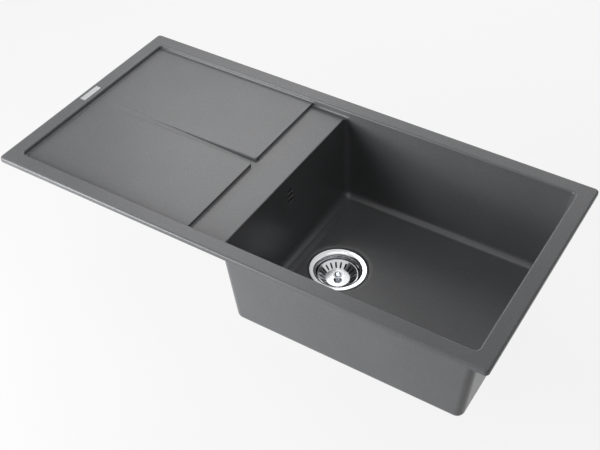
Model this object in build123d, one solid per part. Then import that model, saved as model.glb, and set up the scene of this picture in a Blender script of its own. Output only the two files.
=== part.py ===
from build123d import *
from math import tan, radians, pi
import os

# Inset kitchen sink: one moulded composite body with a drainer on the left and a bowl on the right,
# a basket strainer waste in the bowl floor and an overflow piped down to the waste.
# Millimetres. +X to the right, +Y to the back, +Z up.
# The origin is the centre of the rim's underside, the plane that lies on the worktop.

# ---------------------------------------------------------------- rim and drainer
RIM_LENGTH = 1000.0
RIM_WIDTH = 500.0
RIM_HEIGHT = 9.2
RIM_LAND = 32.0           # rim width at the front, the back and the right
RIM_LAND_LEFT = 30.0
RIM_PLAN_RADIUS = 8.0     # outer corners seen from above
RIM_EDGE_RADIUS = 4.0     # outer top edge
RIM_INNER_RADIUS = 3.5    # where the rim rolls over into the recess
DRAFT = 5.3               # degrees that every moulded wall leans, so the part leaves its mould
SHELL = 6.0               # wall of the moulding
TRAY_SHELL = 7.0          # thickness under the drainer
PANEL_DEPTH = 8.4         # drainer panels, below the rim's top
CHANNEL_DEPTH = 15.0      # cross channel beside the bowl, below the rim's top
PANEL_END_X = -88.4       # right end of both drainer panels
RECESS_CORNER = 8.0
COVE = 3.5                # small foot radius round the drainer
PANEL_LIP = 1.2
GROOVE_HALF = 8.9         # half width of the groove between the panels, at the top
GROOVE_SIDE = 15.3        # degrees that the groove's sides lean
GROOVE_START_X = -435.0   # where the groove floor begins to fall
GROOVE_MOUTH = 5.0        # rounded panel corners where the groove meets the channel
RIB_COUNT = 4
RIB_PITCH = 80.0
RIB_WIDTH = 5.0
RIB_DEPTH = 7.0

# ---------------------------------------------------------------- bowl
BOWL_LEFT_X = -12.4       # bowl's left edge at the level of the channel
BOWL_DEPTH = 196.5        # rim top to the floor's edges
BOWL_CORNER = 10.0        # upright inner corners, at the rim
BOWL_FOOT_CORNER = 16.0   # the same at the floor, so a corner is part of a cone
BOWL_COVE = 15.6          # round the floor
BOWL_EDGE = 2.0
BASE_CORNER = 15.0        # the same outside
BASE_EDGE = 14.0
FLOOR_FALL = 1.2          # that the floor drops from its edges to the waste
DISH_RADIUS = 68.0        # round the waste, where the fall ends and the dish begins

# ---------------------------------------------------------------- waste
WASTE_X = 99.5
FLANGE_RADIUS = 57.0
FLANGE_DROP = 2.3         # flange top, below the lowest part of the floor
CUP_SHEET = 1.0
CUP_FALL = 0.6            # that the flange falls towards the cup
CUP_SEAL = 1.5            # thickness
CUP_THROAT = 43.0         # inner radius under the rolled lip
CUP_LIP = 7.0             # radius of the rolled lip
CUP_LOW = 39.0            # inner radius of the wall at the cup's floor
CUP_DEPTH = 38.0          # flange top to the stopper's seat
SUMP_RADIUS = 25.0
SUMP_LOW_RADIUS = 22.0
SUMP_DEPTH = 50.0         # flange top to the sump's floor
SUMP_HOLES = 8
SUMP_HOLE_RADIUS = 4.0
SUMP_HOLE_CIRCLE = 15.5
WASTE_HOLE_RADIUS = 45.0
WASTE_HOLE_BEVEL = 2.5
DISH_GAP = 1.5            # dark line round the flange
DISH_EDGE = 4.5           # width of the rounded step down to the flange
BOSS_THICK = 6.0          # moulding under the flange's seat
BOSS_RADIUS = 70.0
BODY_SEAL = 2.0
BODY_WALL = 2.6
BODY_RADIUS = 45.6        # inner, at the top
BODY_FLANGE_RADIUS = 56.5
BODY_FLANGE = 4.0
BODY_CONE_TOP = 44.0      # below the flange top
BODY_CONE_END = 66.0
OUTLET_BORE = 19.5
OUTLET_RADIUS = 23.9      # outside of a G 1 1/2 thread
OUTLET_END = 98.0         # below the flange top
BODY_HUB = 7.5
BODY_HUB_TOP = 54.0
BODY_HUB_END = 70.0
SCREW_RADIUS = 3.0
SCREW_HEAD = 7.0
SCREW_HEAD_TOP = 41.0
SCREW_SOCKET = 4.4
SCREW_SOCKET_END = 48.0
INSERT_WALL = 2.0
FIT = 0.05                # between a fixed pin and its hole

# ---------------------------------------------------------------- basket and stopper
BASKET_SHEET = 0.8
BASKET_FLAT = 24.0        # radius of the middle
BASKET_FLAT_DEPTH = 23.5
BASKET_RIM = 38.0
BASKET_RIM_DEPTH = 12.0
BASKET_LIP = 2.2
SLOT_COUNT = 20
SLOT_WIDTH = 3.4
SLOT_IN = 24.8
SLOT_OUT = 34.8
KNOB_RADIUS = 8.3
KNOB_NECK = 4.6
KNOB_HEIGHT = 12.0
STEM_RADIUS = 3.9
STEM_END = 47.0
STEM_THREAD = 2.9
STOPPER_RADIUS = 30.0
STOPPER_THICK = 4.0
PLAY = 0.3                # between pieces that move past each other
COLLAR_RADIUS = 7.0
COLLAR_THICK = 1.2
SPRING_WIRE = 0.5

# ---------------------------------------------------------------- overflow
OVERFLOW_Z = -60.0        # middle slot, below the rim's top
SLOT_PITCH = 11.0
OVERFLOW_SLOTS = 3
OVERFLOW_SLOT_LENGTH = 18.0
OVERFLOW_SLOT_HEIGHT = 6.0
OVERFLOW_SLOT_ROUND = 1.4
PAD_X = -22.0             # outer face of the thickened wall
PAD_WIDTH = 60.0
PAD_HEIGHT = 46.0
GASKET = 2.0
HOUSING_FLANGE = 3.0
HOUSING_WALL = 2.5
HOUSING_DEPTH = 21.0
CHAMBER_WIDTH = 25.0
CHAMBER_HEIGHT = 37.0
FIX_SPACING = 44.0        # between the two screws
FIX_RADIUS = 2.0
FIX_LENGTH = 11.0
FIX_INSERT = 7.0
PIPE_X = -38.0
PIPE_RADIUS = 10.0
PIPE_WALL = 1.8
PIPE_BEND = 40.0
PIPE_LEVEL = 34.7         # inlet's axis, below the flange top
SPIGOT_RADIUS = 13.5
SOCKET_DEPTH = 12.0
PIPE_IN = 10.0            # how far the pipe goes into each socket
NUT_RADIUS = 17.0
NUT_LENGTH = 14.0
NUT_END = 2.0
WASHER = 3.0
HOUSING_SPIGOT = 20.0
INLET_REACH = 72.0        # from the waste's axis to the inlet's end

# ---------------------------------------------------------------- clamp inserts and badge
CLAMP_X = (130.0, 400.0)
CLAMP_Y = 231.0
CLAMP_BOSS = 7.0
CLAMP_BOSS_DEPTH = 14.0
CLAMP_INSERT = 4.0
CLAMP_INSERT_DEPTH = 11.0
CLAMP_THREAD = 2.1
BADGE_WIDTH = 12.5
BADGE_LENGTH = 51.0
BADGE_THICK = 0.8
BADGE_SUNK = 0.5
BADGE_GAP = 0.1

# ---------------------------------------------------------------- values that follow
LEAN = tan(radians(DRAFT))
X_LEFT = -RIM_LENGTH / 2 + RIM_LAND_LEFT
X_RIGHT = RIM_LENGTH / 2 - RIM_LAND
Y_WALL = RIM_WIDTH / 2 - RIM_LAND
Z_PANEL = RIM_HEIGHT - PANEL_DEPTH
Z_CHANNEL = RIM_HEIGHT - CHANNEL_DEPTH
Z_FLOOR = RIM_HEIGHT - BOWL_DEPTH
Z_BASE = Z_FLOOR - SHELL
STEP = CHANNEL_DEPTH - PANEL_DEPTH
PANEL_FOOT_X = PANEL_END_X + STEP * LEAN
BOWL_TOP_X = BOWL_LEFT_X - CHANNEL_DEPTH * LEAN
TRAY_STOP_X = BOWL_LEFT_X + 72.0      # the tray's cutters end inside the bowl
Z_LOW = Z_FLOOR - FLOOR_FALL
Z_FLANGE = Z_LOW - FLANGE_DROP
Z_SEAT = Z_FLANGE - CUP_SHEET - CUP_SEAL
Z_BOSS = Z_SEAT - BOSS_THICK
Z_BODY = Z_BOSS - BODY_SEAL
Z_SLOT = RIM_HEIGHT + OVERFLOW_Z
waste = Pos(WASTE_X, 0, Z_FLANGE)


def near(value, target, tolerance=0.05):
    return abs(value - target) < tolerance


def level_edges(solid, z):
    """Edges that lie flat at one height."""
    def flat(edge):
        box = edge.bounding_box()
        return near(box.min.Z, z, 0.01) and near(box.max.Z, z, 0.01)
    return solid.edges().filter_by(flat)


def drafted(x0, x1, y, depth, corner, foot):
    """A block that hangs from the rim's top and narrows downwards by the draft, its corners and foot rounded."""
    inset = depth * LEAN
    low = RIM_HEIGHT - depth
    side = Polyline((x0, RIM_HEIGHT), (x1, RIM_HEIGHT), (x1 - inset, low), (x0 + inset, low), close=True)
    end = Polyline((-y, RIM_HEIGHT), (y, RIM_HEIGHT), (y - inset, low), (inset - y, low), close=True)
    block = extrude(Plane.XZ * make_face(side), y + 1, both=True)
    block = block & extrude(Plane.YZ * make_face(end), RIM_LENGTH, both=True)
    if corner:
        block = fillet(block.edges().filter_by(lambda e: e.bounding_box().size.Z > depth - 0.1), corner)
    return fillet(level_edges(block, low), foot) if foot else block


def cone_corner(block, x, y, depth, top_radius, low_radius):
    """Rounds one upright corner of a drafted block with part of a cone that touches both walls."""
    growth = (low_radius - top_radius) / depth
    rise = top_radius / growth
    side_x = 1 if x > 0 else -1
    side_y = 1 if y > 0 else -1
    # the cone's tip lies where the two walls meet, high above the rim
    tip = Vector(x + side_x * rise * LEAN, y + side_y * rise * LEAN, RIM_HEIGHT + rise)
    axis = Vector(-side_x * (LEAN + growth), -side_y * (LEAN + growth), growth * LEAN - 1).normalized()
    touch = Vector(-side_x * LEAN, -side_y * (LEAN + growth), -1).normalized()
    spread = tan(axis.get_angle(touch) * pi / 180)
    start = rise - 20
    finish = rise + depth + 20
    cone = turned([(0, start), (start * spread, start), (finish * spread, finish), (0, finish)])
    cone = Plane(origin=tip, z_dir=axis).location * cone
    rings = []
    for reach in (rise - 10, rise + depth + 10):
        corner = tip + Vector(-side_x * LEAN, -side_y * LEAN, -1) * reach
        radius = reach * growth
        rings.append([
            corner + Vector(side_x * radius, side_y * radius, 0),
            corner + Vector(-side_x * radius, 0, 0),
            corner + Vector(0, -side_y * radius, 0),
        ])
    upper, lower = rings
    sides = [[upper[i - 1], upper[i], lower[i], lower[i - 1]] for i in range(3)]
    wedge = Solid(Shell([Face(Wire.make_polygon(points)) for points in sides + [upper, lower]]))
    return block - (wedge - cone)


def zone(x0, x1, y, z0, z1):
    return Pos((x0 + x1) / 2, 0, (z0 + z1) / 2) * Box(x1 - x0, 2 * y, z1 - z0)


def turned(points):
    """A solid turned about Z from radius and height pairs."""
    outline = Polyline(*[(r, 0, z) for r, z in points], close=True)
    return revolve(make_face(outline), Axis.Z)


def ring(outer, inner, z0, z1):
    return turned([(inner, z0), (outer, z0), (outer, z1), (inner, z1)])


def rod(radius, z0, z1):
    return Pos(0, 0, (z0 + z1) / 2) * Cylinder(radius, z1 - z0)


def along_x(solid, x, y, z):
    """Lays a solid made about Z down along X, its top towards +X."""
    return Pos(x, y, z) * Rot(0, 90, 0) * solid


# ================================================================= sink body
# The hollow is built first, each part with its own rounded feet, and is then cut from the outside form.

# one drainer panel with its rounded right corner, used to shape the hollow's edges
def panel_block():
    depth = STEP + 6
    low = Z_PANEL - depth
    lean = depth * tan(radians(GROOVE_SIDE))
    left = X_LEFT - 30
    back = Y_WALL + 20
    side = Polyline((left, Z_PANEL), (PANEL_END_X, Z_PANEL), (PANEL_END_X + depth * LEAN, low), (left, low), close=True)
    end = Polyline((GROOVE_HALF, Z_PANEL), (back, Z_PANEL), (back, low), (GROOVE_HALF - lean, low), close=True)
    block = extrude(Plane.XZ * make_face(side), back + 1, both=True)
    block = block & extrude(Plane.YZ * make_face(end), RIM_LENGTH, both=True)
    corner_x = PANEL_END_X + depth * LEAN / 2
    corner = block.edges().filter_by(lambda e: near(e.center().X, corner_x, 0.6) and e.center().Y < 12)
    block = fillet(corner, GROOVE_MOUTH)
    lip = level_edges(block, Z_PANEL)
    lip = lip.filter_by(lambda e: e.center().X > left + 1 and e.center().Y < back - 1)
    return fillet(lip, PANEL_LIP)


back_panel = panel_block()
front_panel = back_panel.mirror(Plane.XZ)

recess = drafted(X_LEFT, TRAY_STOP_X, Y_WALL, PANEL_DEPTH, RECESS_CORNER, COVE)
channel_x = PANEL_END_X - PANEL_DEPTH * LEAN
channel = drafted(channel_x, TRAY_STOP_X, Y_WALL, CHANNEL_DEPTH, COVE + 0.5, COVE)

# the walls alone, one step deeper, to trim the two small edge cutters
walls = drafted(X_LEFT, TRAY_STOP_X + 20, Y_WALL, CHANNEL_DEPTH + 3, RECESS_CORNER, 0)

lip_cut = walls & zone(PANEL_END_X - 8, PANEL_FOOT_X + 1, Y_WALL + 1, Z_PANEL - 3, Z_PANEL)
lip_cut = lip_cut - back_panel - front_panel

# groove between the panels, its floor falling to the channel
groove_end = PANEL_FOOT_X + COVE
groove_side = Polyline(
    (GROOVE_START_X, Z_PANEL),
    (groove_end, Z_PANEL),
    (groove_end, Z_CHANNEL),
    (PANEL_FOOT_X, Z_CHANNEL),
    close=True,
)
groove = extrude(Plane.XZ * make_face(groove_side), GROOVE_HALF + GROOVE_MOUTH + PANEL_LIP, both=True)
groove = groove - back_panel - front_panel

bowl = drafted(BOWL_TOP_X, X_RIGHT, Y_WALL, BOWL_DEPTH, 0, 0)
for x in (BOWL_TOP_X, X_RIGHT):
    for y in (-Y_WALL, Y_WALL):
        bowl = cone_corner(bowl, x, y, BOWL_DEPTH, BOWL_CORNER, BOWL_FOOT_CORNER)

# rounded edge where the channel's floor turns down into the bowl
edge_block = zone(BOWL_LEFT_X - 40, BOWL_LEFT_X + 42, Y_WALL + 20, Z_CHANNEL - 25, Z_CHANNEL) - bowl
edge_line = level_edges(edge_block, Z_CHANNEL)
edge_line = edge_line.filter_by(lambda e: abs(e.center().Y) < Y_WALL and e.center().X > BOWL_LEFT_X - 39)
edge_block = fillet(edge_line, BOWL_EDGE)
edge_cut = walls & zone(BOWL_LEFT_X - 8, BOWL_LEFT_X + 37, Y_WALL + 1, Z_CHANNEL - 2.5, Z_CHANNEL)
edge_cut = edge_cut - edge_block

bowl = fillet(level_edges(bowl, Z_FLOOR), BOWL_COVE)

# the floor falls a little from all four sides to a square round the waste
floor_inset = BOWL_DEPTH * LEAN + BOWL_COVE
fall_x0 = BOWL_TOP_X + floor_inset
fall_x1 = X_RIGHT - floor_inset
fall_y = Y_WALL - floor_inset
edge_ring = [(fall_x0, -fall_y), (fall_x1, -fall_y), (fall_x1, fall_y), (fall_x0, fall_y)]
x0 = WASTE_X - DISH_RADIUS
x1 = WASTE_X + DISH_RADIUS
dish_ring = [(x0, -DISH_RADIUS), (x1, -DISH_RADIUS), (x1, DISH_RADIUS), (x0, DISH_RADIUS)]
upper = [(x, y, Z_FLOOR) for x, y in edge_ring]
lower = [(x, y, Z_LOW) for x, y in dish_ring]
sides = [[upper[i - 1], upper[i], lower[i], lower[i - 1]] for i in range(4)]
fall = Solid(Shell([Face(Wire.make_polygon(points)) for points in sides + [upper, lower]]))

hollow = recess + channel + lip_cut + groove + bowl + edge_cut + fall

# outside form
slab = extrude(RectangleRounded(RIM_LENGTH, RIM_WIDTH, RIM_PLAN_RADIUS), RIM_HEIGHT)
slab = fillet(level_edges(slab, RIM_HEIGHT), RIM_EDGE_RADIUS)

tub = drafted(BOWL_TOP_X - SHELL, X_RIGHT + SHELL, Y_WALL + SHELL, BOWL_DEPTH + SHELL, BASE_CORNER, BASE_EDGE)
tray_depth = PANEL_DEPTH + TRAY_SHELL
tray = drafted(X_LEFT - SHELL, TRAY_STOP_X, Y_WALL + SHELL, tray_depth, RECESS_CORNER + 2, SHELL - 1)
gully_depth = CHANNEL_DEPTH + TRAY_SHELL
gully = drafted(channel_x - SHELL, TRAY_STOP_X, Y_WALL + SHELL, gully_depth, SHELL, SHELL - 1)

# keel under the groove
z_tray = RIM_HEIGHT - tray_depth
z_gully = RIM_HEIGHT - gully_depth
keel_side = Polyline(
    (GROOVE_START_X, z_tray + 0.5),
    (PANEL_END_X, z_tray + 0.5),
    (PANEL_END_X, z_gully),
    (GROOVE_START_X, z_tray),
    close=True,
)
keel = extrude(Plane.XZ * make_face(keel_side), GROOVE_HALF + TRAY_SHELL, both=True)

# stiffening ribs under the drainer, with sloped ends
rib_foot = Y_WALL - 2
rib_side = Polyline(
    (-rib_foot, z_tray + 1),
    (rib_foot, z_tray + 1),
    (rib_foot - 10, z_tray - RIB_DEPTH),
    (10 - rib_foot, z_tray - RIB_DEPTH),
    close=True,
)
rib = extrude(Plane.YZ * make_face(rib_side), RIB_WIDTH / 2, both=True)
rib_x = (X_LEFT + PANEL_END_X) / 2
ribs = [Pos(rib_x + (i - (RIB_COUNT - 1) / 2) * RIB_PITCH, 0, 0) * rib for i in range(RIB_COUNT)]

# thicker floor round the waste
flank = Z_BASE - Z_BOSS
boss = Pos(WASTE_X, 0, 0) * turned([
    (0, Z_BOSS),
    (BOSS_RADIUS, Z_BOSS),
    (BOSS_RADIUS + 2 * flank, Z_BASE),
    (BOSS_RADIUS + 2 * flank, Z_BASE + 2),
    (0, Z_BASE + 2),
])

# thickened wall that carries the overflow housing
wall_out = BOWL_TOP_X - SHELL + (RIM_HEIGHT - Z_SLOT) * LEAN
pad = extrude(Plane.YZ * RectangleRounded(PAD_WIDTH, PAD_HEIGHT, 10), wall_out + 3 - PAD_X)
pad = Pos(PAD_X, 0, Z_SLOT) * pad

# bosses for the clamp inserts, against the outside of the walls
clamp_points = [(sx * x, sy * CLAMP_Y) for x in CLAMP_X for sx in (-1, 1) for sy in (-1, 1)]
lug = []
for x, y in clamp_points:
    side = 1 if y > 0 else -1
    inner_y = side * (Y_WALL + 2)
    lug.append(Pos(x, y, 0) * rod(CLAMP_BOSS, -CLAMP_BOSS_DEPTH, 1))
    web = Box(2 * CLAMP_BOSS, abs(y - inner_y), CLAMP_BOSS_DEPTH + 1)
    lug.append(Pos(x, (y + inner_y) / 2, (1 - CLAMP_BOSS_DEPTH) / 2) * web)

sink = slab + tub + tray + gully + keel + ribs + boss + pad + lug
sink = sink - hollow

inner_lip = level_edges(sink, RIM_HEIGHT)
inner_lip = inner_lip.filter_by(lambda e: abs(e.center().X) < RIM_LENGTH / 2 - 20 and abs(e.center().Y) < Y_WALL + 2)
sink = fillet(inner_lip, RIM_INNER_RADIUS)

# dish, seat and hole for the waste
dish_radius = FLANGE_RADIUS + DISH_GAP
dish_step = (dish_radius + DISH_EDGE, 0, FLANGE_DROP - 0.3)
dish_middle = (dish_radius + DISH_EDGE * 0.42, 0, FLANGE_DROP - 0.9)
dish_foot = (dish_radius, 0, -0.6)
dish_side = make_face(
    Line((0, 0, 20), (DISH_RADIUS, 0, 20))
    + Line((DISH_RADIUS, 0, 20), (DISH_RADIUS, 0, FLANGE_DROP))
    + Line((DISH_RADIUS, 0, FLANGE_DROP), dish_step)
    + ThreePointArc(dish_step, dish_middle, dish_foot)
    + Line(dish_foot, (dish_radius, 0, Z_SEAT - Z_FLANGE))
    + Line((dish_radius, 0, Z_SEAT - Z_FLANGE), (0, 0, Z_SEAT - Z_FLANGE))
    + Line((0, 0, Z_SEAT - Z_FLANGE), (0, 0, 20))
)
sink = sink - waste * revolve(dish_side, Axis.Z)
sink = sink - Pos(WASTE_X, 0, 0) * rod(WASTE_HOLE_RADIUS, Z_BOSS - 5, Z_FLANGE)
mouth = sink.edges().filter_by(GeomType.CIRCLE).filter_by(
    lambda e: near(e.radius, WASTE_HOLE_RADIUS) and near(e.center().Z, Z_SEAT)
)
sink = chamfer(mouth, WASTE_HOLE_BEVEL)

# overflow slots through the left wall, their inner mouths rounded
slot_levels = [Z_SLOT + (i - (OVERFLOW_SLOTS - 1) / 2) * SLOT_PITCH for i in range(OVERFLOW_SLOTS)]
for z in slot_levels:
    slot = extrude(Plane.YZ * SlotOverall(OVERFLOW_SLOT_LENGTH, OVERFLOW_SLOT_HEIGHT), 40)
    sink = sink - Pos(PAD_X - 5, 0, z) * slot
slot_mouths = sink.edges().filter_by(
    lambda e: e.center().X > PAD_X + 6 and abs(e.center().Y) < OVERFLOW_SLOT_LENGTH / 2 + 1
    and Z_SLOT - PAD_HEIGHT / 2 < e.center().Z < Z_SLOT + PAD_HEIGHT / 2 and e.center().X < BOWL_LEFT_X + 20
    and e.bounding_box().size.X < 1.5
)
sink = fillet(slot_mouths, OVERFLOW_SLOT_ROUND)

# blind holes for the brass inserts
fix_points = [-FIX_SPACING / 2, FIX_SPACING / 2]
for y in fix_points:
    hole = Cylinder(FIX_RADIUS + INSERT_WALL / 2 + 0.2 + FIT, FIX_INSERT)
    sink = sink - along_x(hole, PAD_X + FIX_INSERT / 2, y, Z_SLOT)
for x, y in clamp_points:
    sink = sink - Pos(x, y, 0) * rod(CLAMP_INSERT + FIT, -CLAMP_BOSS_DEPTH, CLAMP_INSERT_DEPTH - CLAMP_BOSS_DEPTH)

# shallow seat for the plate on the left rim
badge_x = (-RIM_LENGTH / 2 + RIM_EDGE_RADIUS + X_LEFT - RIM_INNER_RADIUS) / 2
badge_seat = Box(BADGE_WIDTH + 2 * BADGE_GAP, BADGE_LENGTH + 2 * BADGE_GAP, 2 * BADGE_SUNK)
sink = sink - Pos(badge_x, 0, RIM_HEIGHT) * badge_seat

# ================================================================= plate on the rim, left blank
badge = Box(BADGE_WIDTH, BADGE_LENGTH, BADGE_THICK)
badge = fillet(badge.edges().filter_by(Axis.Z), 1.0)
badge = Pos(badge_x, 0, RIM_HEIGHT - BADGE_SUNK + BADGE_THICK / 2) * badge

# ================================================================= clamp inserts, brass
clamp_inserts = []
for x, y in clamp_points:
    sleeve = ring(CLAMP_INSERT, CLAMP_THREAD, -CLAMP_BOSS_DEPTH, CLAMP_INSERT_DEPTH - CLAMP_BOSS_DEPTH)
    clamp_inserts.append(Pos(x, y, 0) * sleeve)

# ================================================================= strainer cup, pressed steel
low_wall = CUP_DEPTH - 5
flange_flat = FLANGE_RADIUS - 1.3
lip_x = CUP_THROAT + CUP_LIP


def flange_z(radius, gap):
    """Height of the flange's sloping sheet at a radius, let down by a gap."""
    return -CUP_FALL * (flange_flat - radius) / (flange_flat - lip_x) - gap


def cup_form(gap):
    """The cup's inside form, let out by a gap: 0 gives the hollow, the sheet's thickness the outside."""
    edge = FLANGE_RADIUS + 5 if gap == 0 else FLANGE_RADIUS - 6
    lip = CUP_LIP - gap
    lip_z = -CUP_LIP - CUP_FALL
    start = (lip_x, 0, lip_z + lip)
    middle = (lip_x - lip * 0.7071, 0, lip_z + lip * 0.7071)
    finish = (lip_x - lip, 0, lip_z)
    outline = Line((0, 0, 5), (edge, 0, 5))
    outline += Line((edge, 0, 5), (edge, 0, flange_z(edge, gap)))
    outline += Line((edge, 0, flange_z(edge, gap)), start)
    outline += ThreePointArc(start, middle, finish)
    outline += Polyline(
        finish,
        (CUP_LOW + gap, 0, -low_wall),
        (CUP_LOW - 5 + gap * 0.6, 0, -CUP_DEPTH - gap),
        (SUMP_RADIUS + gap, 0, -CUP_DEPTH - gap),
        (SUMP_LOW_RADIUS + gap, 0, -SUMP_DEPTH - gap),
        (0, 0, -SUMP_DEPTH - gap),
        (0, 0, 5),
    )
    return revolve(make_face(outline), Axis.Z)


cup_flange = turned([
    (lip_x - 1, flange_z(lip_x - 1, CUP_SHEET)),
    (FLANGE_RADIUS - CUP_SHEET, flange_z(FLANGE_RADIUS - CUP_SHEET, CUP_SHEET)),
    (FLANGE_RADIUS - CUP_SHEET, -CUP_SHEET - CUP_SEAL + 0.2),
    (FLANGE_RADIUS, -CUP_SHEET - CUP_SEAL + 0.2),
    (FLANGE_RADIUS, -1.1),
    (FLANGE_RADIUS - 0.4, -0.4),
    (flange_flat, 0),
    (lip_x - 1, 0),
])
cup = cup_form(CUP_SHEET) - Pos(0, 0, 10) * Box(200, 200, 20) + cup_flange - cup_form(0)
cup = cup - rod(SCREW_RADIUS + 0.3, -SUMP_DEPTH - 5, -SUMP_DEPTH + 5)
drain = Pos(SUMP_HOLE_CIRCLE, 0, -SUMP_DEPTH) * Cylinder(SUMP_HOLE_RADIUS, 6)
for i in range(SUMP_HOLES):
    cup = cup - Rot(0, 0, 360 / SUMP_HOLES * (i + 0.5)) * drain
cup = waste * cup

seal_out = FLANGE_RADIUS - CUP_SHEET - 0.4
seal_in = lip_x + 0.8
cup_seal = turned([
    (seal_in, -CUP_SHEET - CUP_SEAL),
    (seal_out, -CUP_SHEET - CUP_SEAL),
    (seal_out, flange_z(seal_out, CUP_SHEET)),
    (seal_in, flange_z(seal_in, CUP_SHEET)),
])
cup_seal = waste * cup_seal

# ================================================================= waste body, moulded plastic
top = Z_BODY - Z_FLANGE
z_flange_low = top - BODY_FLANGE
cone_out = BODY_WALL * 1.4
body_outer = turned([
    (0, top),
    (BODY_FLANGE_RADIUS, top),
    (BODY_FLANGE_RADIUS, z_flange_low),
    (BODY_RADIUS + BODY_WALL, z_flange_low),
    (BODY_RADIUS + BODY_WALL - 1.6, -BODY_CONE_TOP),
    (OUTLET_RADIUS, -BODY_CONE_END - 2),
    (OUTLET_RADIUS, -OUTLET_END),
    (0, -OUTLET_END),
])
body_inner = turned([
    (0, top + 1),
    (BODY_RADIUS, top + 1),
    (BODY_RADIUS, z_flange_low),
    (BODY_RADIUS - 1.6, -BODY_CONE_TOP),
    (OUTLET_BORE, -BODY_CONE_END),
    (OUTLET_BORE, -OUTLET_END - 1),
    (0, -OUTLET_END - 1),
])
inlet_x = -INLET_REACH
inlet = along_x(rod(SPIGOT_RADIUS, inlet_x, -BODY_RADIUS + 2), 0, 0, -PIPE_LEVEL)
gusset_side = Polyline(
    (BODY_RADIUS + 1, 0, z_flange_low + 0.5),
    (BODY_FLANGE_RADIUS - 1.5, 0, z_flange_low + 0.5),
    (BODY_RADIUS + 1, 0, z_flange_low - 9),
    close=True,
)
gusset = extrude(make_face(gusset_side), 1.1, both=True)
body = body_outer + inlet + [Rot(0, 0, 30 + 60 * i) * gusset for i in range(6)]
body = body - body_inner
body = body - along_x(rod(PIPE_RADIUS - PIPE_WALL, inlet_x - 1, -BODY_RADIUS + 3), 0, 0, -PIPE_LEVEL)
body = body - along_x(rod(PIPE_RADIUS + 0.15, inlet_x - 1, inlet_x + SOCKET_DEPTH), 0, 0, -PIPE_LEVEL)
# spider that carries the clamp screw's insert
spoke = Pos(OUTLET_BORE / 2 + 1, 0, -(BODY_HUB_TOP + 6 + BODY_HUB_END) / 2)
spoke = spoke * Box(OUTLET_BORE + 2, 3, BODY_HUB_END - BODY_HUB_TOP - 6)
spider = rod(BODY_HUB, -BODY_HUB_END, -BODY_HUB_TOP) + [Rot(0, 0, 60 + 120 * i) * spoke for i in range(3)]
insert_radius = SCREW_RADIUS + INSERT_WALL
spider = spider - rod(insert_radius + FIT, -BODY_HUB_END - 1, -BODY_HUB_TOP + 1)
body = waste * (body + spider)

body_seal = ring(BODY_FLANGE_RADIUS - 0.5, BODY_RADIUS + 0.9, top, top + BODY_SEAL)
body_seal = waste * body_seal

screw_insert = waste * ring(insert_radius, SCREW_RADIUS + FIT, -BODY_HUB_END, -BODY_HUB_TOP)

# clamp screw: its hollow head also guides the stem of the basket
screw = rod(SCREW_RADIUS, -BODY_HUB_END, -SUMP_DEPTH) + rod(SCREW_HEAD, -SUMP_DEPTH, -SCREW_HEAD_TOP)
screw = chamfer(screw.edges().filter_by(lambda e: near(e.center().Z, -SCREW_HEAD_TOP)), 0.8)
screw = waste * (screw - rod(SCREW_SOCKET, -SCREW_SOCKET_END, -SCREW_HEAD_TOP + 1))

# ================================================================= basket: slotted strainer, lifts out
rise = BASKET_FLAT_DEPTH - BASKET_RIM_DEPTH
run = BASKET_RIM - BASKET_FLAT
basket = turned([
    (STEM_THREAD + 0.2, -BASKET_FLAT_DEPTH - BASKET_SHEET),
    (BASKET_FLAT + 0.4, -BASKET_FLAT_DEPTH - BASKET_SHEET),
    (BASKET_RIM + 0.4, -BASKET_RIM_DEPTH - BASKET_SHEET),
    (BASKET_RIM + BASKET_LIP, -BASKET_RIM_DEPTH - BASKET_SHEET),
    (BASKET_RIM + BASKET_LIP, -BASKET_RIM_DEPTH - 0.2),
    (BASKET_RIM + BASKET_LIP - 0.4, -BASKET_RIM_DEPTH),
    (BASKET_RIM, -BASKET_RIM_DEPTH),
    (BASKET_FLAT, -BASKET_FLAT_DEPTH),
    (STEM_THREAD + 0.2, -BASKET_FLAT_DEPTH),
])
cutter = SlotOverall(SLOT_OUT - SLOT_IN, SLOT_WIDTH)
cutter = Pos((SLOT_OUT + SLOT_IN) / 2, 0, -BASKET_FLAT_DEPTH - 3) * extrude(cutter, rise + 4)
for i in range(SLOT_COUNT):
    basket = basket - Rot(0, 0, 360 / SLOT_COUNT * i) * cutter
basket = waste * basket

neck = KNOB_HEIGHT * 0.45
knob_side = make_face(
    Polyline(
        (KNOB_RADIUS, 0, neck + 1.8),
        (KNOB_RADIUS - 0.6, 0, neck + 0.8),
        (KNOB_NECK, 0, neck),
        (KNOB_NECK, 0, 1.5),
        (KNOB_NECK + 1.2, 0, 0),
        (0, 0, 0),
        (0, 0, KNOB_HEIGHT),
        (1.5, 0, KNOB_HEIGHT),
    )
    + ThreePointArc((1.5, 0, KNOB_HEIGHT), (KNOB_RADIUS - 1.7, 0, KNOB_HEIGHT - 1.6), (KNOB_RADIUS, 0, neck + 1.8))
)
knob = revolve(knob_side, Axis.Z) - rod(STEM_THREAD + FIT, -1, neck + 1.5)
knob = waste * Pos(0, 0, -BASKET_FLAT_DEPTH) * knob

# stem: threaded into the knob, two collars, and an end that drops into the screw's head
under_basket = -BASKET_FLAT_DEPTH - BASKET_SHEET
stopper_top = -CUP_DEPTH + STOPPER_THICK
stem = rod(STEM_THREAD, under_basket, -BASKET_FLAT_DEPTH + neck + 1)
stem = stem + rod(STEM_RADIUS, -STEM_END, under_basket)
stem = stem + rod(COLLAR_RADIUS, under_basket - 1.5, under_basket)
stem = stem + rod(COLLAR_RADIUS, stopper_top + PLAY, stopper_top + PLAY + COLLAR_THICK)
spring_z = -STEM_END + 3.5


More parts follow.
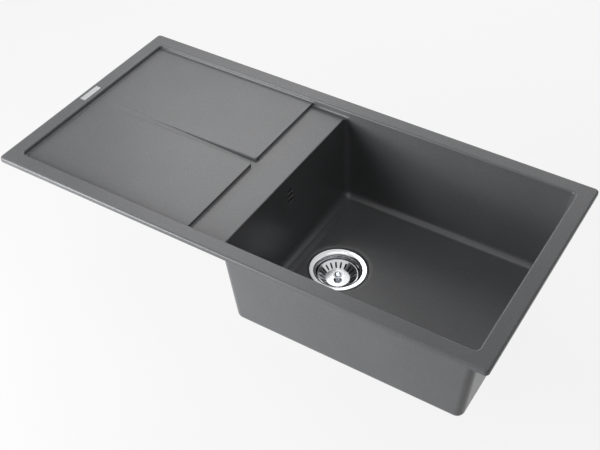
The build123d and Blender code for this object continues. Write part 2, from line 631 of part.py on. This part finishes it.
def wire_ring(size):
    """A ring of wire round the stem, of six-sided section."""
    centre = STEM_RADIUS - 0.15
    return turned([
        (centre - size, spring_z - size / 2),
        (centre, spring_z - size),
        (centre + size, spring_z - size / 2),
        (centre + size, spring_z + size / 2),
        (centre, spring_z + size),
        (centre - size, spring_z + size / 2),
    ])


stem = waste * (stem - wire_ring(SPRING_WIRE + 0.05))
spring = wire_ring(SPRING_WIRE) - Pos(STEM_RADIUS, 0, spring_z) * Box(4, 1.5, 3)
spring = waste * spring

washer_top = -CUP_DEPTH - PLAY
stem_washer = waste * ring(COLLAR_RADIUS, STEM_RADIUS + FIT, washer_top - COLLAR_THICK, washer_top)

# ================================================================= rubber stopper
stopper = turned([
    (STEM_RADIUS + PLAY, -CUP_DEPTH),
    (STOPPER_RADIUS - 0.6, -CUP_DEPTH),
    (STOPPER_RADIUS, -CUP_DEPTH + 1.0),
    (STOPPER_RADIUS - 1.5, -CUP_DEPTH + 2.2),
    (COLLAR_RADIUS + 3, -CUP_DEPTH + 2.6),
    (COLLAR_RADIUS + 2, stopper_top),
    (STEM_RADIUS + PLAY, stopper_top),
])
stopper = waste * stopper

# ================================================================= overflow
gasket_x = PAD_X - GASKET
gasket = extrude(Plane.YZ * (RectangleRounded(PAD_WIDTH - 4, PAD_HEIGHT - 4, 8)
                             - RectangleRounded(CHAMBER_WIDTH, CHAMBER_HEIGHT, 4)), GASKET)
for y in fix_points:
    gasket = gasket - along_x(Cylinder(FIX_RADIUS + 0.3, 3 * GASKET), 0, y, 0)
gasket = Pos(gasket_x, 0, Z_SLOT) * gasket

housing = extrude(Plane.YZ * RectangleRounded(PAD_WIDTH - 4, PAD_HEIGHT - 4, 8), -HOUSING_FLANGE)
shell_width = CHAMBER_WIDTH + 2 * HOUSING_WALL
shell_height = CHAMBER_HEIGHT + 2 * HOUSING_WALL
shell = extrude(Plane.YZ * RectangleRounded(shell_width, shell_height, 4 + HOUSING_WALL), -HOUSING_DEPTH)
shell = fillet(shell.edges().filter_by(lambda e: near(e.bounding_box().max.X, -HOUSING_DEPTH, 0.01)), 4)
spigot_x = PIPE_X - gasket_x
spigot_low = -shell_height / 2 - HOUSING_SPIGOT
housing = housing + shell + Pos(spigot_x, 0, 0) * rod(SPIGOT_RADIUS, spigot_low, -shell_height / 2 + 8)
chamber = extrude(Plane.YZ * RectangleRounded(CHAMBER_WIDTH, CHAMBER_HEIGHT, 4), -HOUSING_DEPTH + HOUSING_WALL)
housing = housing - chamber
housing = housing - Pos(spigot_x, 0, 0) * rod(PIPE_RADIUS - PIPE_WALL, spigot_low - 1, 1 - CHAMBER_HEIGHT / 2)
housing = housing - Pos(spigot_x, 0, 0) * rod(PIPE_RADIUS + 0.15, spigot_low - 1, spigot_low + SOCKET_DEPTH)
for y in fix_points:
    housing = housing - along_x(Cylinder(FIX_RADIUS + 0.3, 4 * HOUSING_FLANGE), 0, y, 0)
housing = Pos(gasket_x, 0, Z_SLOT) * housing

fix_head = gasket_x - HOUSING_FLANGE
fix_screws = []
fix_inserts = []
for y in fix_points:
    one = rod(FIX_RADIUS, 0, FIX_LENGTH) + rod(FIX_RADIUS * 1.95, -2.6, 0)
    one = fillet(one.edges().filter_by(lambda e: near(e.center().Z, -2.6)), 1.2)
    fix_screws.append(along_x(one, fix_head, y, Z_SLOT))
    sleeve = ring(FIX_RADIUS + INSERT_WALL / 2 + 0.2, FIX_RADIUS + FIT, 0, FIX_INSERT)
    fix_inserts.append(along_x(sleeve, PAD_X, y, Z_SLOT))

# pipe from the housing down and round to the waste
spigot_end = Z_SLOT + spigot_low
inlet_end = WASTE_X - INLET_REACH
z_pipe = Z_FLANGE - PIPE_LEVEL
pipe_top = spigot_end + PIPE_IN
pipe_stop = inlet_end + PIPE_IN


def tube(radius):
    """The pipe's line at one radius: down behind the bowl, a quarter turn, then across under it."""
    turn_z = z_pipe + PIPE_BEND
    turn_x = PIPE_X + PIPE_BEND
    section = Pos(PIPE_X, 0, turn_z) * Circle(radius)
    bend = revolve(section, Axis((turn_x, 0, turn_z), (0, -1, 0)), 90)
    fall = Pos(PIPE_X, 0, 0) * rod(radius, turn_z, pipe_top)
    reach = along_x(rod(radius, turn_x, pipe_stop), 0, 0, z_pipe)
    return fall + bend + reach


pipe = tube(PIPE_RADIUS) - tube(PIPE_RADIUS - PIPE_WALL)

# union nut with grip ribs, and the washer that it squeezes; the nut's open end points up
nut = ring(NUT_RADIUS - 1, SPIGOT_RADIUS + 0.15, NUT_END + WASHER, NUT_LENGTH)
nut = nut + ring(NUT_RADIUS - 1, SPIGOT_RADIUS + 0.15, NUT_END, NUT_END + WASHER)
nut = nut + ring(NUT_RADIUS - 1, PIPE_RADIUS + 0.4, 0, NUT_END)
grip = Pos(NUT_RADIUS - 1, 0, NUT_LENGTH / 2) * Box(2, 2.4, NUT_LENGTH)
nut = nut + [Rot(0, 0, 30 * i) * grip for i in range(12)]
squeeze = turned([
    (PIPE_RADIUS + 0.1, 0),
    (SPIGOT_RADIUS - 0.1, 0),
    (SPIGOT_RADIUS - 0.1, 1.6),
    (PIPE_RADIUS + 1.4, WASHER - 0.1),
    (PIPE_RADIUS + 0.1, WASHER - 0.1),
])
nut_low = spigot_end - WASHER - NUT_END
nut_left = inlet_end - WASHER - NUT_END
nuts = [Pos(PIPE_X, 0, nut_low) * nut, along_x(nut, nut_left, 0, z_pipe)]
washers = [Pos(PIPE_X, 0, nut_low + NUT_END) * squeeze, along_x(squeeze, nut_left + NUT_END, 0, z_pipe)]

# ================================================================= write one file for each node
nodes = {
    "sink_body": sink,
    "rim_plate": badge,
    "clamp_inserts": clamp_inserts,
    "strainer_cup": cup,
    "cup_seal": cup_seal,
    "waste_body": body,
    "waste_body_seal": body_seal,
    "clamp_screw": screw,
    "clamp_screw_insert": screw_insert,
    "strainer_basket": basket,
    "basket_knob": knob,
    "basket_stem": stem,
    "stem_spring": spring,
    "stem_washer": stem_washer,
    "stopper": stopper,
    "overflow_gasket": gasket,
    "overflow_housing": housing,
    "overflow_screws": fix_screws,
    "overflow_inserts": fix_inserts,
    "overflow_pipe": pipe,
    "pipe_nuts": nuts,
    "pipe_washers": washers,
}
os.makedirs("parts", exist_ok=True)
for name, form in nodes.items():
    if isinstance(form, list):
        form = Compound(children=[piece.solid() for piece in form])
    export_step(form, os.path.join("parts", name + ".step"))
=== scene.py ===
import math

import bmesh
import bpy
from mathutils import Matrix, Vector


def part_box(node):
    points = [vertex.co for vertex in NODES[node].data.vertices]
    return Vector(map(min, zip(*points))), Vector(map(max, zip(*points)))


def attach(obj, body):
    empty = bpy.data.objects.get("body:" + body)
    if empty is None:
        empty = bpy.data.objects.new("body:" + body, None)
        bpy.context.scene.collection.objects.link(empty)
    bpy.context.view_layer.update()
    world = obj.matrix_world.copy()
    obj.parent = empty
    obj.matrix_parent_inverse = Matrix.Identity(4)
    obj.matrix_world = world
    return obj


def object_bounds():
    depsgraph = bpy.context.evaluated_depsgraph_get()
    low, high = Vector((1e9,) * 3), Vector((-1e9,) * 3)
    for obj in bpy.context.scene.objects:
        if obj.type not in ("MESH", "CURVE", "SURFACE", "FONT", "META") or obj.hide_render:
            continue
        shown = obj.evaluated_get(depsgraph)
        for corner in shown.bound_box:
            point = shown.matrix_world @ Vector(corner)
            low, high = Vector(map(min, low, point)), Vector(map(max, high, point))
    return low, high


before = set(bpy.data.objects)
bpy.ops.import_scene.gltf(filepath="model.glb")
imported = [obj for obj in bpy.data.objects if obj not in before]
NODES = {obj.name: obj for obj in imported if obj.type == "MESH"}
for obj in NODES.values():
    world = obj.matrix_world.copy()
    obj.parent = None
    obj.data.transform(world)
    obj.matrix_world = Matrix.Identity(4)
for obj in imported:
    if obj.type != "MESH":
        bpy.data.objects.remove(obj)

cad_low, cad_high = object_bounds()
cup_low, cup_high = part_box("strainer_cup")
waste_x = (cup_low.x + cup_high.x) / 2
outlet_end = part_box("waste_body")[0].z

# ---------------------------------------------------------------- camera
# solved from the rim's straight edges, which are 1000 by 500 mm
CAMERA_PLACE = Vector((0.77557, -1.25101, 1.23689))
CAMERA_TURN = math.radians(31.362)
CAMERA_RISE = math.radians(42.715)
FOCAL_LENGTH, SENSOR_WIDTH = 62.04, 36.0        # millimetres
NEAREST, FARTHEST = 0.05, 60.0

lens = bpy.data.cameras.new("camera")
lens.lens = FOCAL_LENGTH
lens.sensor_width = SENSOR_WIDTH
lens.clip_start, lens.clip_end = NEAREST, FARTHEST
camera = bpy.data.objects.new("camera", lens)
bpy.context.scene.collection.objects.link(camera)
back = Vector((math.sin(CAMERA_TURN) * math.cos(CAMERA_RISE),
               -math.cos(CAMERA_TURN) * math.cos(CAMERA_RISE), math.sin(CAMERA_RISE)))
camera.location = CAMERA_PLACE
camera.rotation_mode = "QUATERNION"
camera.rotation_quaternion = (-back).to_track_quat("-Z", "Y")
bpy.context.scene.camera = camera
bpy.context.scene.view_settings.view_transform = "Standard"


# ---------------------------------------------------------------- materials
def linear(colour, alpha=1.0):
    """An sRGB hex colour as linear numbers."""
    parts = [int(colour[i:i + 2], 16) / 255 for i in (1, 3, 5)]
    return [c / 12.92 if c <= 0.04045 else ((c + 0.055) / 1.055) ** 2.4 for c in parts] + [alpha]


def add(tree, kind, settings=None, **links):
    """Adds a node. settings set its properties, its sockets (#2 is the third) and the stops of a colour ramp.

    links join its inputs to outputs, by the socket's name or as i2 for the third.
    """
    made = tree.nodes.new(kind)
    for name, value in (settings or {}).items():
        if name == "stops":
            elements = made.color_ramp.elements
            while len(elements) < len(value):
                elements.new(0.5)
            for element, (place, colour) in zip(elements, value):
                element.position = place
                element.color = linear(colour)
        elif hasattr(made, name):
            setattr(made, name, value)
        else:
            made.inputs[int(name[1:]) if name[0] == "#" else name].default_value = value
    for name, source in links.items():
        numbered = name[0] == "i" and name[1:].isdigit()
        socket = made.inputs[int(name[1:]) if numbered else name.replace("_", " ")]
        tree.links.new(source, socket)
    return made


def material(name, skin, surface=None):
    """A material with one shader. skin holds the shader's plain values, surface(tree, shader) adds its pattern."""
    made = bpy.data.materials.new(name)
    made.use_nodes = True
    tree = made.node_tree
    tree.nodes.clear()
    shader = add(tree, "ShaderNodeBsdfPrincipled", skin)
    add(tree, "ShaderNodeOutputMaterial", None, Surface=shader.outputs[0])
    if surface:
        surface(tree, shader)
    return made


# moulded quartz composite: about four fifths quartz sand of 0.1 to 0.6 mm in tinted resin.
# the mould leaves a fine sandy skin, matt with a faint sheen, and single grains are a little lighter or darker.
# the sand is drawn at 1 to 1.2 mm, because its own size would not show
SAND_SKIN = 0.0012
SAND_GRAIN = 0.0010
TONE_CLOUD = 0.09           # slow change of tone where the mix filled the mould


def quartz_grain(tree, shader):
    place = add(tree, "ShaderNodeTexCoord").outputs["Object"]
    sand = add(tree, "ShaderNodeTexNoise", {"Scale": 1 / SAND_SKIN, "Detail": 3.0, "Roughness": 0.6}, Vector=place)
    grains = add(tree, "ShaderNodeTexVoronoi", {"Scale": 1 / SAND_GRAIN}, Vector=place)
    cloud = add(tree, "ShaderNodeTexNoise", {"Scale": 1 / TONE_CLOUD, "Detail": 2.0}, Vector=place)
    lightness = add(tree, "ShaderNodeSeparateColor", None, Color=grains.outputs["Color"]).outputs[0]
    tone = add(tree, "ShaderNodeValToRGB", {"stops": [(0.0, "#606163"), (0.12, "#68696B"),
                                                      (0.88, "#6C6D6F"), (1.0, "#787A7C")]}, Fac=lightness)
    shade = add(tree, "ShaderNodeValToRGB", {"stops": [(0.30, "#F6F6F6"), (0.70, "#FFFFFF")]},
                Fac=cloud.outputs[0])
    colour = add(tree, "ShaderNodeMix", {"data_type": "RGBA", "blend_type": "MULTIPLY", "#0": 1.0},
                 i6=tone.outputs[0], i7=shade.outputs[0])
    tree.links.new(colour.outputs[2], shader.inputs["Base Color"])
    rough = add(tree, "ShaderNodeMapRange", {"#3": 0.31, "#4": 0.38}, i0=sand.outputs[0])
    tree.links.new(rough.outputs[0], shader.inputs["Roughness"])
    bump = add(tree, "ShaderNodeBump", {"Strength": 0.35, "Distance": 0.00012}, Height=sand.outputs[0])
    tree.links.new(bump.outputs[0], shader.inputs["Normal"])


composite = material("moulded_quartz_composite", {"IOR": 1.49}, quartz_grain)

# brushed stainless plate: long fine scratches along the plate's length.
# a scratch is about 0.05 mm wide, and is drawn 0.4 mm wide so that it shows
SCRATCH_WIDTH = 0.0004
SCRATCH_LENGTH = 0.012


def brushed_along_y(tree, shader):
    place = add(tree, "ShaderNodeTexCoord").outputs["Object"]
    stretched = add(tree, "ShaderNodeMapping",
                    {"Scale": (1 / SCRATCH_WIDTH, 1 / SCRATCH_LENGTH, 1 / SCRATCH_WIDTH)}, Vector=place)
    scratch = add(tree, "ShaderNodeTexNoise", {"Scale": 1.0, "Detail": 4.0}, Vector=stretched.outputs[0])
    rough = add(tree, "ShaderNodeMapRange", {"#3": 0.30, "#4": 0.46}, i0=scratch.outputs[0])
    tree.links.new(rough.outputs[0], shader.inputs["Roughness"])
    bump = add(tree, "ShaderNodeBump", {"Strength": 0.15, "Distance": 0.00003}, Height=scratch.outputs[0])
    tree.links.new(bump.outputs[0], shader.inputs["Normal"])
    tone = add(tree, "ShaderNodeValToRGB", {"stops": [(0.3, "#A0A1A3"), (0.7, "#AFB0B2")]},
               Fac=scratch.outputs[0])
    tree.links.new(tone.outputs[0], shader.inputs["Base Color"])


plate_steel = material("brushed_stainless_plate", {"Metallic": 1.0}, brushed_along_y)

# deep-drawn stainless, polished: a mirror with the faint ripple of the drawing and the haze of the polishing mop.
# the mop's marks are below 0.1 mm and are drawn at 0.6 mm
DRAW_RIPPLE = 0.02
POLISH_HAZE = 0.0006


def drawn_and_polished(tree, shader):
    place = add(tree, "ShaderNodeTexCoord").outputs["Object"]
    ripple = add(tree, "ShaderNodeTexNoise", {"Scale": 1 / DRAW_RIPPLE, "Detail": 1.0}, Vector=place)
    fine = add(tree, "ShaderNodeTexNoise", {"Scale": 1 / POLISH_HAZE, "Detail": 2.0}, Vector=place)
    rough = add(tree, "ShaderNodeMapRange", {"#3": 0.09, "#4": 0.17}, i0=fine.outputs[0])
    tree.links.new(rough.outputs[0], shader.inputs["Roughness"])
    bump = add(tree, "ShaderNodeBump", {"Strength": 0.12, "Distance": 0.0004}, Height=ripple.outputs[0])
    tree.links.new(bump.outputs[0], shader.inputs["Normal"])


# the cup: only the flange and the rolled lip are polished; below the basket's rim the press left it rougher, and
# its colour is darkened there as painted shade inside the cup
POLISHED_AND_UNSHADED_TO = cup_high.z - 0.0120
DULL_AND_SHADED_FROM = cup_high.z - 0.0150
DULL_ROUGHNESS = 0.30       # that the press adds to the polished steel's


def drawn_cup(tree, shader):
    drawn_and_polished(tree, shader)
    place = add(tree, "ShaderNodeTexCoord").outputs["Object"]
    height = add(tree, "ShaderNodeSeparateXYZ", None, Vector=place).outputs[2]
    dull_and_shaded = add(tree, "ShaderNodeMapRange", {"#1": POLISHED_AND_UNSHADED_TO, "#2": DULL_AND_SHADED_FROM}, i0=height)
    # painted shade: the steel's colour goes from #D2D3D5 down to #6A6B6D below the basket's rim, darkening the
    # inside of the cup
    tone = add(tree, "ShaderNodeValToRGB", {"stops": [(0.0, "#D2D3D5"), (1.0, "#6A6B6D")]}, Fac=dull_and_shaded.outputs[0])
    tree.links.new(tone.outputs[0], shader.inputs["Base Color"])
    polished = shader.inputs["Roughness"].links[0].from_socket
    more = add(tree, "ShaderNodeMapRange", {"#3": 0.0, "#4": DULL_ROUGHNESS}, i0=dull_and_shaded.outputs[0])
    total = add(tree, "ShaderNodeMath", {"operation": "ADD"}, i0=polished, i1=more.outputs[0])
    tree.links.new(total.outputs[0], shader.inputs["Roughness"])


pressed_steel = material("drawn_stainless_polished_flange", {"Metallic": 1.0}, drawn_cup)
basket_steel = material("polished_pressed_stainless",
                        {"Base Color": linear("#CDCED0"), "Metallic": 1.0}, drawn_and_polished)

# chromium plate on a turned knob: bluish, mirror bright, with the lathe's faint rings.
# a lathe feeds about 0.1 mm a turn, and the rings are drawn every 0.5 mm
KNOB_RINGS = 0.0005


def turned_rings(tree, shader):
    place = add(tree, "ShaderNodeTexCoord").outputs["Object"]
    rings = add(tree, "ShaderNodeTexNoise", {"noise_dimensions": "1D", "Scale": 1 / KNOB_RINGS, "Detail": 2.0})
    height = add(tree, "ShaderNodeSeparateXYZ", None, Vector=place).outputs[2]
    tree.links.new(height, rings.inputs["W"])
    rough = add(tree, "ShaderNodeMapRange", {"#3": 0.05, "#4": 0.12}, i0=rings.outputs[0])
    tree.links.new(rough.outputs[0], shader.inputs["Roughness"])
    bump = add(tree, "ShaderNodeBump", {"Strength": 0.05, "Distance": 0.00002}, Height=rings.outputs[0])
    tree.links.new(bump.outputs[0], shader.inputs["Normal"])


chrome = material("chromium_plate", {"Base Color": linear("#D9DCE0"), "Metallic": 1.0}, turned_rings)

SMEAR = 0.004               # patches in which a turned bar is a little brighter or duller


def turned_metal(name, colour, low, high, pitch):
    """Bar turned on a lathe. Its roughness goes from low to high, with tool marks at the given pitch in metres."""
    def marks(tree, shader):
        place = add(tree, "ShaderNodeTexCoord").outputs["Object"]
        height = add(tree, "ShaderNodeSeparateXYZ", None, Vector=place).outputs[2]
        rings = add(tree, "ShaderNodeTexNoise", {"noise_dimensions": "1D", "Scale": 1 / pitch, "Detail": 2.0})
        tree.links.new(height, rings.inputs["W"])
        spots = add(tree, "ShaderNodeTexNoise", {"Scale": 1 / SMEAR, "Detail": 3.0}, Vector=place)
        both = add(tree, "ShaderNodeMath", {"operation": "MULTIPLY"}, i0=rings.outputs[0], i1=spots.outputs[0])
        rough = add(tree, "ShaderNodeMapRange", {"#1": 0.1, "#2": 0.5, "#3": low, "#4": high}, i0=both.outputs[0])
        tree.links.new(rough.outputs[0], shader.inputs["Roughness"])
        bump = add(tree, "ShaderNodeBump", {"Strength": 0.2, "Distance": 0.00003}, Height=rings.outputs[0])
        tree.links.new(bump.outputs[0], shader.inputs["Normal"])
    return material(name, {"Base Color": linear(colour), "Metallic": 1.0}, marks)


# the marks of turning are 0.1 to 0.2 mm apart, and are drawn up to twice as coarse.
# steel is grey and bright, spring wire duller, brass yellow, and zinc plate bluish and satin
stem_steel = turned_metal("turned_stainless_bar", "#C6C7C9", 0.22, 0.36, 0.00025)
spring_steel = turned_metal("drawn_spring_wire", "#A9AAAD", 0.25, 0.40, 0.0004)
brass = turned_metal("turned_brass", "#C9A24E", 0.24, 0.40, 0.0003)
screw_steel = turned_metal("zinc_plated_steel", "#BFC3C8", 0.28, 0.46, 0.0004)

MOULD_CLOUD = 0.03          # slow change of tone in moulded plastic


def moulded(name, colour, darker, skin, grain, depth, low, high):
    """Injection moulded plastic or rubber. The mould's texture has that grain and depth in metres."""
    def texture(tree, shader):
        place = add(tree, "ShaderNodeTexCoord").outputs["Object"]
        fine = add(tree, "ShaderNodeTexNoise", {"Scale": 1 / grain, "Detail": 2.0}, Vector=place)
        cloud = add(tree, "ShaderNodeTexNoise", {"Scale": 1 / MOULD_CLOUD, "Detail": 3.0}, Vector=place)
        tone = add(tree, "ShaderNodeValToRGB", {"stops": [(0.3, darker), (0.7, colour)]}, Fac=cloud.outputs[0])
        tree.links.new(tone.outputs[0], shader.inputs["Base Color"])
        rough = add(tree, "ShaderNodeMapRange", {"#3": low, "#4": high}, i0=fine.outputs[0])
        tree.links.new(rough.outputs[0], shader.inputs["Roughness"])
        bump = add(tree, "ShaderNodeBump", {"Strength": 0.25, "Distance": depth}, Height=fine.outputs[0])
        tree.links.new(bump.outputs[0], shader.inputs["Normal"])
    return material(name, skin, texture)


# seals are matt black rubber, the stopper a little smoother. polypropylene is white and satin and lets a little
# light in, and the washers' polyethylene is more waxy
seal_rubber = moulded("moulded_seal_rubber", "#2A2A2B", "#222223", {"IOR": 1.52}, 0.0006, 0.00004, 0.58, 0.76)
stopper_rubber = moulded("moulded_stopper_rubber", "#2E2E30", "#262627", {"IOR": 1.52},
                         0.0008, 0.00003, 0.42, 0.58)
white_plastic = moulded("moulded_polypropylene", "#E4E4E0", "#DBDBD6",
                        {"IOR": 1.49, "Subsurface Weight": 0.08, "Subsurface Scale": 0.002},
                        0.0007, 0.00004, 0.38, 0.50)
washer_plastic = moulded("moulded_polyethylene", "#D3D8D8", "#C9CECE",
                         {"IOR": 1.51, "Subsurface Weight": 0.15, "Subsurface Scale": 0.003},
                         0.0009, 0.00003, 0.34, 0.46)

FINISH = {
    "sink_body": composite, "rim_plate": plate_steel, "clamp_inserts": brass,
    "strainer_cup": pressed_steel, "cup_seal": seal_rubber, "waste_body": white_plastic,
    "waste_body_seal": seal_rubber, "clamp_screw": screw_steel, "clamp_screw_insert": brass,
    "strainer_basket": basket_steel, "basket_knob": chrome, "basket_stem": stem_steel,
    "stem_spring": spring_steel, "stem_washer": stem_steel, "stopper": stopper_rubber,
    "overflow_gasket": seal_rubber, "overflow_housing": white_plastic, "overflow_screws": screw_steel,
    "overflow_inserts": brass, "overflow_pipe": white_plastic, "pipe_nuts": white_plastic,
    "pipe_washers": washer_plastic,
}
for name, finish in FINISH.items():
    piece = NODES[name]
    if not piece.material_slots:
        piece.data.materials.append(finish)
    for slot in piece.material_slots:
        slot.material = finish

# ---------------------------------------------------------------- thread of the outlet
# G 1 1/2 has a pitch of 2.309 mm. its crest is one ridge round the outlet that runs out at both ends
THREAD_PITCH = 0.002309
THREAD_WALL = 0.0239        # radius of the outlet
THREAD_FOOT = 0.0236        # radius of the ridge's foot, inside the wall
THREAD_RISE = 0.00055
THREAD_START = 0.0016       # above the outlet's end
THREAD_TURNS = 10
THREAD_STEPS = 60           # per turn
RUN_OUT = 0.5               # turns over which the ridge rises at each end
FOOT_HALF = 0.0009          # half of the ridge's width at its foot and at its crest
CREST_HALF = 0.0003
steps = THREAD_TURNS * THREAD_STEPS
points, faces = [], []
for i in range(steps + 1):
    turn = 2 * math.pi * i / THREAD_STEPS
    level = outlet_end + THREAD_START + THREAD_PITCH * i / THREAD_STEPS
    full = min(1.0, i / THREAD_STEPS / RUN_OUT, (steps - i) / THREAD_STEPS / RUN_OUT)
    crest = THREAD_WALL + THREAD_RISE * full
    for radius, rise in ((THREAD_FOOT, -FOOT_HALF), (crest, -CREST_HALF),
                         (crest, CREST_HALF), (THREAD_FOOT, FOOT_HALF)):
        points.append((waste_x + radius * math.cos(turn), radius * math.sin(turn), level + rise))
    if i:
        a, b = 4 * (i - 1), 4 * i
        faces += [(a + k, a + (k + 1) % 4, b + (k + 1) % 4, b + k) for k in range(4)]
faces += [(3, 2, 1, 0), tuple(4 * steps + k for k in range(4))]
mesh = bpy.data.meshes.new("outlet_thread")
mesh.from_pydata(points, [], faces)
ridge = bmesh.new()
ridge.from_mesh(mesh)
bmesh.ops.recalc_face_normals(ridge, faces=ridge.faces)
ridge.to_mesh(mesh)
ridge.free()
thread = bpy.data.objects.new("outlet_thread", mesh)
bpy.context.scene.collection.objects.link(thread)
thread.data.materials.append(white_plastic)
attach(thread, "sink")


# ---------------------------------------------------------------- floor and light
def seen_directly(tree):
    """1 for rays from the camera and in reflections, 0 for the light that things give each other."""
    ray = add(tree, "ShaderNodeLightPath")
    mirror = add(tree, "ShaderNodeMath", {"operation": "MAXIMUM"},
                 i0=ray.outputs["Is Glossy Ray"], i1=ray.outputs["Is Transmission Ray"])
    return add(tree, "ShaderNodeMath", {"operation": "MAXIMUM"},
               i0=ray.outputs["Is Camera Ray"], i1=mirror.outputs[0]).outputs[0]


# white paper sweep: seen as white, with a part left to its own shading so that it keeps the sink's shadow
GLOW = 0.87
FLOOR_HALF = 30.0
FLOOR_LEVEL = cad_low.z - 0.0005
mesh = bpy.data.meshes.new("floor")
mesh.from_pydata([(-FLOOR_HALF, -FLOOR_HALF, FLOOR_LEVEL), (FLOOR_HALF, -FLOOR_HALF, FLOOR_LEVEL),
                  (FLOOR_HALF, FLOOR_HALF, FLOOR_LEVEL), (-FLOOR_HALF, FLOOR_HALF, FLOOR_LEVEL)],
                 [], [(0, 1, 2, 3)])
floor = bpy.data.objects.new("floor", mesh)
bpy.context.scene.collection.objects.link(floor)
paper = bpy.data.materials.new("white_paper_sweep")
paper.use_nodes = True
tree = paper.node_tree
tree.nodes.clear()
matt = add(tree, "ShaderNodeBsdfDiffuse", {"Color": linear("#DCDCDC")})
white = add(tree, "ShaderNodeEmission", {"Color": linear("#FFFFFF"), "Strength": 1.0})
part = add(tree, "ShaderNodeMath", {"operation": "MULTIPLY", "#1": GLOW}, i0=seen_directly(tree))
both = add(tree, "ShaderNodeMixShader", None, Fac=part.outputs[0], i1=matt.outputs[0], i2=white.outputs[0])
add(tree, "ShaderNodeOutputMaterial", None, Surface=both.outputs[0])
floor.data.materials.append(paper)

LAMPS = {
    # name: (place, looks at, width, height, watts)
    "back_left": ((-0.97, 1.14, 1.25), (-0.05, 0.0, 0.0), 0.75, 0.70, 6.3),
    "back": ((-0.05, 1.75, 0.70), (0.0, 0.0, 0.0), 1.6, 0.9, 6.5),
    "front_left": ((-0.80, -1.16, 0.46), (-0.15, 0.0, 0.0), 0.8, 0.6, 13.5),
    "low_left": ((-0.95, -1.30, 0.18), (-0.20, -0.20, 0.0), 0.7, 0.25, 12.5),
    "overhead": ((0.15, 0.0, 2.2), (0.15, 0.0, 0.0), 1.4, 1.4, 6.2),
}
for name, (place, target, width, height, power) in LAMPS.items():
    lamp = bpy.data.lights.new(name, "AREA")
    lamp.shape = "RECTANGLE"
    lamp.size, lamp.size_y = width, height
    lamp.energy = power
    lit = bpy.data.objects.new(name, lamp)
    lit.location = place
    lit.rotation_mode = "QUATERNION"
    lit.rotation_quaternion = (Vector(target) - Vector(place)).to_track_quat("-Z", "Y")
    bpy.context.scene.collection.objects.link(lit)

# the studio round it: white where it is seen, and a little soft light into the hollows
AMBIENT = 0.04
world = bpy.data.worlds.new("studio")
bpy.context.scene.world = world
world.use_nodes = True
tree = world.node_tree
tree.nodes.clear()
strength = add(tree, "ShaderNodeMapRange", {"#3": AMBIENT, "#4": 1.0}, i0=seen_directly(tree))
glow = add(tree, "ShaderNodeBackground", {"Color": linear("#FFFFFF")}, Strength=strength.outputs[0])
add(tree, "ShaderNodeOutputWorld", None, Surface=glow.outputs[0])
